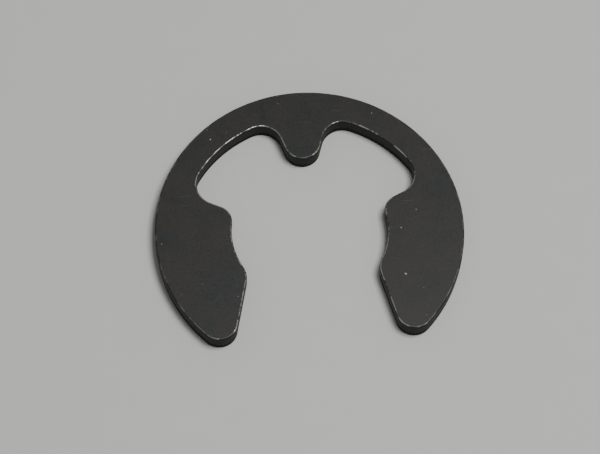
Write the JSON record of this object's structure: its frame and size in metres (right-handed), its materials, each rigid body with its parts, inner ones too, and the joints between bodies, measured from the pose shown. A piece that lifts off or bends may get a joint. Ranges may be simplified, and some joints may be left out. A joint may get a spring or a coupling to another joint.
{
  "type": "e-type retaining ring",
  "caption": "Flat stamped retaining ring of dark spring steel, with a round rim, an open mouth, a centre tab and curved gripping arcs that snap into a shaft groove.",
  "frame": {"origin": "centre of the round rim and of the grip circle, at the bottom face", "axes": "+Z through the sheet, from the bottom face to the face with the rolled edge; +Y towards the closed back and the tab's root, so the mouth opens to -Y; +X to the right"},
  "size_m": [0.012, 0.0104, 0.0008],
  "materials": {
    "black_steel": "dark grey to black phosphate and oil on hardened spring steel, satin, rubbed bright in thin lines along the edges"
  },
  "bodies": {
    "root": {"retaining_ring": "black_steel"}
  },
  "joints": []
}
